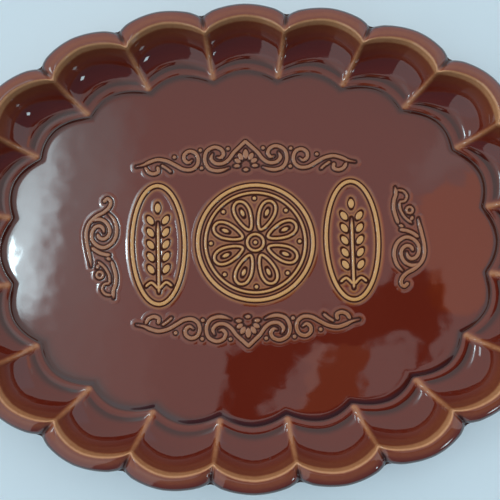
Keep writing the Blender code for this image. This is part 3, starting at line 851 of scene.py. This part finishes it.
def long_scroll():
    leg = [(0.2, 16.2), (3.4, 13.2), (7.2, 9.6), (10.2, 5.6), (14.0, 3.1), (18.3, 3.2), (21.1, 6.0),
           (20.2, 9.2)]
    big_hook = [(10.4, 0.4), (14.2, -1.0), (18.5, -1.3), (22.9, 0.6), (25.0, 5.4), (23.8, 10.6),
                (19.2, 13.2), (15.0, 12.0), (13.5, 8.9), (15.2, 6.6), (17.3, 7.0)]
    tail = [(66.6, 2.3), (62.4, 3.2), (58.4, 5.0), (53.4, 6.3), (47.8, 5.2), (42.5, 2.4), (38.0, 0.0),
            (33.2, -0.3), (29.8, 2.2), (29.0, 6.2), (30.6, 9.8), (34.2, 11.0), (37.3, 9.0), (37.4, 5.8),
            (35.0, 4.0), (32.8, 5.4)]
    bud = [(61.2, 1.6), (59.4, -1.2), (56.2, -2.4), (53.4, -1.2), (53.6, 1.4)]
    fin = [(45.6, -1.4), (48.2, 0.8), (51.0, 2.6)]
    half = [band(leg, ends=(1, 0.5)), band(big_hook, ends=(0.5, 0.5)), band(tail, ends=(0.5, 0.6)),
            band(bud, ends=(0.6, 0.8)), band(fin, FINE_WIDTH, ends=(0.6, 0.8))]
    half += [drop(spot, BERRY_WIDTH, BERRY_WIDTH) for spot in SCROLL_BERRIES]
    middle = [drop((0.0, -1.0), 5.4, BERRY_WIDTH)]
    for lean, length, width in PALMETTE_PETALS:
        reach = PETAL_GAP + length / 2
        for side in sorted({lean, -lean}):
            turn = math.radians(90 - side)
            x = PALMETTE_HEART[0] + reach * math.cos(turn)
            y = PALMETTE_HEART[1] + reach * math.sin(turn)
            middle.append(drop((x, y), length, width, 90 - side))
    return half + mirrored(half) + middle


sprig("upper_scroll", long_scroll(), (-1.0, 47.2), 0, AMBER_FINISH)
sprig("lower_scroll", long_scroll(), (-2.0, -43.8), 180, AMBER_FINISH)

# %% [markdown]
# ## The side scroll
# An upright scroll closes the middle row at either end. It has no mirror line: a crown that hooks over at
# the top, two arms that roll into each other, and a leafy stem. So each stroke is drawn by itself, from
# its outer end inwards, and the right one is the left one turned half round.

# %% The side scroll
LEAF_TEETH = ((3.4, -7.9, -25), (-3.2, -12.4, 65))
TOOTH_LENGTH, TOOTH_WIDTH = 5.0, 2.4


def side_scroll():
    crown = [(1.3, 27.2), (3.1, 28.6), (4.9, 27.0), (4.3, 23.8), (1.1, 20.6), (-3.9, 17.9), (-8.0, 14.0),
             (-9.9, 9.1), (-9.9, 3.6), (-8.9, -2.2), (-7.7, -8.0), (-7.1, -12.0)]
    outer_arm = [(3.8, 19.3), (6.7, 15.9), (8.3, 11.0), (7.9, 5.7), (5.4, 1.4), (0.9, -1.0), (-3.4, 0.3),
                 (-6.3, 3.6), (-6.6, 7.9), (-4.8, 11.2), (-1.8, 12.2), (0.2, 10.6), (0.7, 8.4)]
    inner_arm = [(-5.6, 15.2), (-1.6, 16.1), (2.1, 14.1), (4.1, 10.3), (3.7, 6.5), (0.9, 4.2), (-1.9, 4.9),
                 (-3.0, 6.9)]
    leaf = [(-6.6, -0.9), (-3.4, -3.3), (0.2, -4.9), (4.0, -5.6)]
    stem = [(5.2, -9.6), (6.4, -13.1), (7.6, -18.4), (7.2, -23.6), (6.0, -27.3), (6.2, -31.4)]
    frond = [(-3.0, -9.5), (1.0, -13.0), (3.5, -17.6), (3.9, -22.0)]
    curl = [(3.6, -22.6), (0.7, -23.1), (-0.7, -26.1), (1.2, -28.9), (4.9, -29.8)]
    eye = ring((-2.0, -17.4), 1.9, 1.9, 8)
    strokes = [band(crown, ends=(1, 0.5)), band(outer_arm, ends=(0.6, 0.6)),
               band(inner_arm, ends=(0.5, 0.7)), band(leaf, ends=(0.5, 0.6)), band(stem, ends=(0.6, 0.5)),
               band(frond, FINE_WIDTH, ends=(0.6, 0.8)), band(curl, FINE_WIDTH, ends=(0.8, 0.6)),
               band(eye, FINE_WIDTH, closed=True)]
    return strokes + [drop((x, y), TOOTH_LENGTH, TOOTH_WIDTH, turn) for x, y, turn in LEAF_TEETH]


sprig("left_scroll", side_scroll(), (-88.4, 1.7), 0, AMBER_FINISH)
sprig("right_scroll", side_scroll(), (95.6, 1.7), 180, AMBER_FINISH)

# %% [markdown]
# ## The medallion and the cartouches
# The middle row holds three plain motifs in the same bands. The first is a round medallion with eight
# petals in a double ring. One petal is described once and turned round the middle by a loop, as a potter
# would press the same small stamp again and again.

# %% The medallion
MEDALLION_RADIUS = 37.0
OUTER_RING_INSET, INNER_RING_INSET, HUB_RADIUS = 2.2, 6.8, 5.0
PETALS, PETAL_HALF_WIDTH = 8, 5.2
PETAL_START, PETAL_INSET = 8.4, 3.4
LOOP_STEPS = 10


def petal_loop(near, far, half_width):
    """A leaf-shaped loop along +X, widest past its middle."""
    points = []
    for step in range(LOOP_STEPS):
        turn = 2 * math.pi * step / LOOP_STEPS
        along = (1 - math.cos(turn)) / 2
        points.append((near + (far - near) * along, half_width * math.sin(turn) * (0.55 + 0.6 * along)))
    return points


def medallion():
    outer, inner = MEDALLION_RADIUS - OUTER_RING_INSET, MEDALLION_RADIUS - INNER_RING_INSET
    strokes = [band(ring((0, 0), outer, outer, 28), closed=True),
               band(ring((0, 0), inner, inner, 24), FINE_WIDTH, closed=True),
               band(ring((0, 0), HUB_RADIUS, HUB_RADIUS, 8), FINE_WIDTH, closed=True),
               drop((0, 0), BERRY_WIDTH, BERRY_WIDTH)]
    near, far = PETAL_START, inner - PETAL_INSET
    reach = near + (far - near) * 0.6
    for count in range(PETALS):
        turn = 360 * (count + 0.5) / PETALS
        petal = turned(petal_loop(near, far, PETAL_HALF_WIDTH), turn)
        strokes.append(band(petal, FINE_WIDTH, closed=True))
        seed, = turned([(reach, 0)], turn)
        strokes.append(drop(seed, (far - near) * 0.4, BERRY_WIDTH, turn))
        berry, = turned([(far, 0)], turn + 180 / PETALS)
        strokes.append(drop(berry, BERRY_WIDTH, BERRY_WIDTH))
    return strokes


# %% [markdown]
# On either side stands an upright oval round an ear of corn. Its grains come in pairs, so a loop sets one
# pair above the other, and both ovals are made from the same strokes.

# %% The cartouches
CARTOUCHE_RADII = (15.8, 35.8)
LOWEST_GRAIN, GRAIN_STEP, GRAIN_PAIRS = -14.8, 7.4, 5
GRAIN_LENGTH, GRAIN_WIDTH = 9, 3.8
GRAIN_ASIDE, GRAIN_LEAN = 4.6, 34
FOOT_DROP = 14


def cartouche():
    top = -LOWEST_GRAIN + GRAIN_STEP
    foot = LOWEST_GRAIN - FOOT_DROP
    strokes = [band(ring((0, 0), *CARTOUCHE_RADII, 28), closed=True),
               band([(0, foot), (0, LOWEST_GRAIN), (0, top - GRAIN_LENGTH)], FINE_WIDTH, ends=(0.7, 0.6)),
               drop((0, top), GRAIN_LENGTH, GRAIN_WIDTH, 90)]
    for side in (1, -1):
        for count in range(GRAIN_PAIRS):
            spot = (GRAIN_ASIDE * side, LOWEST_GRAIN + GRAIN_STEP * count)
            strokes.append(drop(spot, GRAIN_LENGTH, GRAIN_WIDTH, 90 - GRAIN_LEAN * side))
        leaf = [(0.6 * side, foot + 2.6), (4.4 * side, foot + 6.0), (7.8 * side, foot + 3.8)]
        strokes.append(band(leaf, FINE_WIDTH, ends=(0.7, 0.6)))
    return strokes


sprig("centre_medallion", medallion(), (3.6, 1.7), 0, GOLDEN_FINISH, cell=0.32)
sprig("left_cartouche", cartouche(), (-55.0, 1.7), 0, GOLDEN_FINISH)
sprig("right_cartouche", cartouche(), (62.2, 1.7), 0, GOLDEN_FINISH)

# %% [markdown]
# ## The floor
# The tray lies on a plain pale floor with a hint of blue. It is wide, so that its edge never shows in the
# glaze as a line.

# %% Floor
FLOOR_SIZE = 6
PAPER_COLOURS = ((0.675, 0.790, 0.860, 1), (0.705, 0.830, 0.900, 1))


def paper_shader(base):
    cloud = noise(base.node("ShaderNodeTexCoord", out="Object"), 9.0)
    return base.node("ShaderNodeBsdfPrincipled", None, {
        "Base Color": mixed(cloud, *PAPER_COLOURS), "Roughness": 0.7})


bpy.ops.mesh.primitive_plane_add(size=FLOOR_SIZE)
floor = bpy.context.object
floor.name = "floor"
floor.data.materials.append(material_with("pale_floor", paper_shader))
print("floor in m:", [round(side, 2) for side in floor.dimensions])

# %% [markdown]
# ## The light
# A glossy glaze looks like what it mirrors, so the light is drawn as a studio that surrounds the tray.
# Lamps could do this too, but each card would need its own object. The world can hold all of it: a
# direction becomes a place on a flat map, as on a sky chart that is looked at from below, and straight
# lines on that map cut out each shape.

# %% The chart of directions, and how a shape is cut out of it
world = bpy.data.worlds.new("world")
bpy.context.scene.world = world
world.use_nodes = True
world.node_tree.nodes.clear()
base = Wire(world.node_tree)
direction = base.node("ShaderNodeTexCoord", out="Generated")
x, y, z = direction.parts()
ripple = (noise(direction, 9.0) - 0.5) * 0.03 + (noise(direction, 60.0) - 0.5) * 0.014
chart_x = x / (z.most(-0.6) + 1) + ripple
chart_y = y / (z.most(-0.6) + 1) - ripple


def beside(start, end, soft):
    """1 to the right of the line from start to end on the chart, softly 0 to its left."""
    aside = Vector((end[1] - start[1], start[0] - end[0])).normalized()
    reach = aside.x * start[0] + aside.y * start[1]
    return (chart_x * aside.x + chart_y * aside.y).smooth(reach - soft, reach + soft)


def patch(soft, *corners):
    """1 inside a shape with no inward corner, whose corners run clockwise, and softly 0 outside it."""
    return math.prod(beside(start, end, soft) for start, end in zip(corners, corners[1:] + corners[:1]))


# %% [markdown]
# The studio is an even pale tent with a window high on the left and a lamp in it, a warm wall on the right
# and dark cards low at the front right. Each is one patch on the chart, with a soft or a crisp border. The
# camera itself sees a plain pale ground instead.

# %% Light
TENT_LEVEL, CARD_LEVEL, GLOW_LEVEL = 0.83, 0.03, 0.6
WINDOW_LEVELS, BULB_LEVEL, SIDE_WINDOW_LEVEL, FRONT_LAMP_LEVEL = (9.0, 3.6), 40.0, 6.0, 9.0
WINDOW_COLOUR = (0.70, 0.92, 1.0)
WARM_COLOUR = (0.75, 0.08, -0.10)
COOL_COLOUR = (0.20, 0.30, 0.32)
EMBER_COLOUR = (0.50, 0.17, 0.07)
SKY_COLOUR = (0.0, 0.12, 0.20)
SHEEN_COLOUR = (0.10, 0.55, 0.62)
GROUND_COLOUR = (0.60, 0.71, 0.77, 1)

card = patch(0.004, (-0.035, -0.16), (-0.02, -0.068), (0.10, -0.014), (0.172, 0.002), (0.176, -0.03),
             (0.15, -0.10), (0.11, -0.16))
left_gap = patch(0.004, (0.005, -0.125), (0.036, -0.086), (0.060, -0.064), (0.078, -0.064), (0.033, -0.125))
right_gap = patch(0.004, (0.098, -0.124), (0.108, -0.062), (0.150, -0.052), (0.149, -0.085), (0.137, -0.124))
low_card = patch(0.008, (-0.50, -1.2), (-0.115, -0.275), (0.22, -0.14), (1.2, -0.42), (1.2, -1.2))
dark = (card * (1 - left_gap) * (1 - right_gap)).most(low_card)
glow = patch(0.045, (-0.30, -0.30), (-0.30, 0.14), (-0.125, 0.10), (-0.095, -0.30))
level = TENT_LEVEL + (CARD_LEVEL - TENT_LEVEL) * dark + glow * GLOW_LEVEL
light = mixed(level, (0, 0, 0, 1), (1, 1, 1, 1))

window = patch(0.021, (-0.232, -0.032), (-0.226, 0.16), (-0.170, 0.15), (-0.188, -0.022))
bulb = patch(0.004, (-0.2225, 0.012), (-0.2195, 0.052), (-0.2125, 0.046), (-0.2105, 0.002))
side_window = patch(0.015, (-0.59, -0.02), (-0.57, 0.17), (-0.47, 0.14), (-0.47, -0.01))
front_lamp = patch(0.01, (0.465, -0.58), (0.465, -0.49), (0.55, -0.49), (0.55, -0.58))
lamps = window * chart_y.smooth(0.02, 0.16, *WINDOW_LEVELS) + bulb * BULB_LEVEL
lamps = lamps + side_window * SIDE_WINDOW_LEVEL + front_lamp * FRONT_LAMP_LEVEL
warm = patch(0.004, (0.172, -0.03), (0.16, 0.062), (0.24, 0.12), (0.30, 0.10), (0.30, -0.05))
cool = patch(0.016, (0.148, 0.068), (0.165, 0.125), (0.25, 0.185), (0.245, 0.125))
ember = patch(0.004, (0.030, -0.13), (0.062, -0.066), (0.108, -0.060), (0.098, -0.13))
sky = patch(0.05, (-1.2, -1.2), (-1.2, -0.22), (1.2, -0.22), (1.2, -1.2))
sky = sky + patch(0.05, (0.33, -0.22), (0.33, 0.50), (1.2, 0.80), (1.2, -0.22))
sheen = patch(0.035, (-0.24, -0.16), (-0.22, 0.22), (-0.110, 0.17), (-0.145, -0.13))
sheen = sheen * chart_y.smooth(-0.08, 0.10, 0.45, 1.15)

for colour, share in ((WINDOW_COLOUR, lamps), (WARM_COLOUR, warm), (COOL_COLOUR, cool),
                      (EMBER_COLOUR, ember), (SKY_COLOUR, sky), (SHEEN_COLOUR, sheen)):
    panel = share.node("ShaderNodeVectorMath", {"operation": "SCALE"}, {0: colour, "Scale": share})
    light = light.node("ShaderNodeVectorMath", {"operation": "ADD"}, {0: light, 1: panel})
seen = base.node("ShaderNodeLightPath", out="Is Camera Ray")
light = mixed(seen, light, GROUND_COLOUR)
ground = base.node("ShaderNodeBackground", None, {"Color": light, "Strength": 1.0})
base.node("ShaderNodeOutputWorld", None, {"Surface": ground})
bpy.context.scene.view_settings.view_transform = "Standard"
print("nodes that draw the light:", len(world.node_tree.nodes))
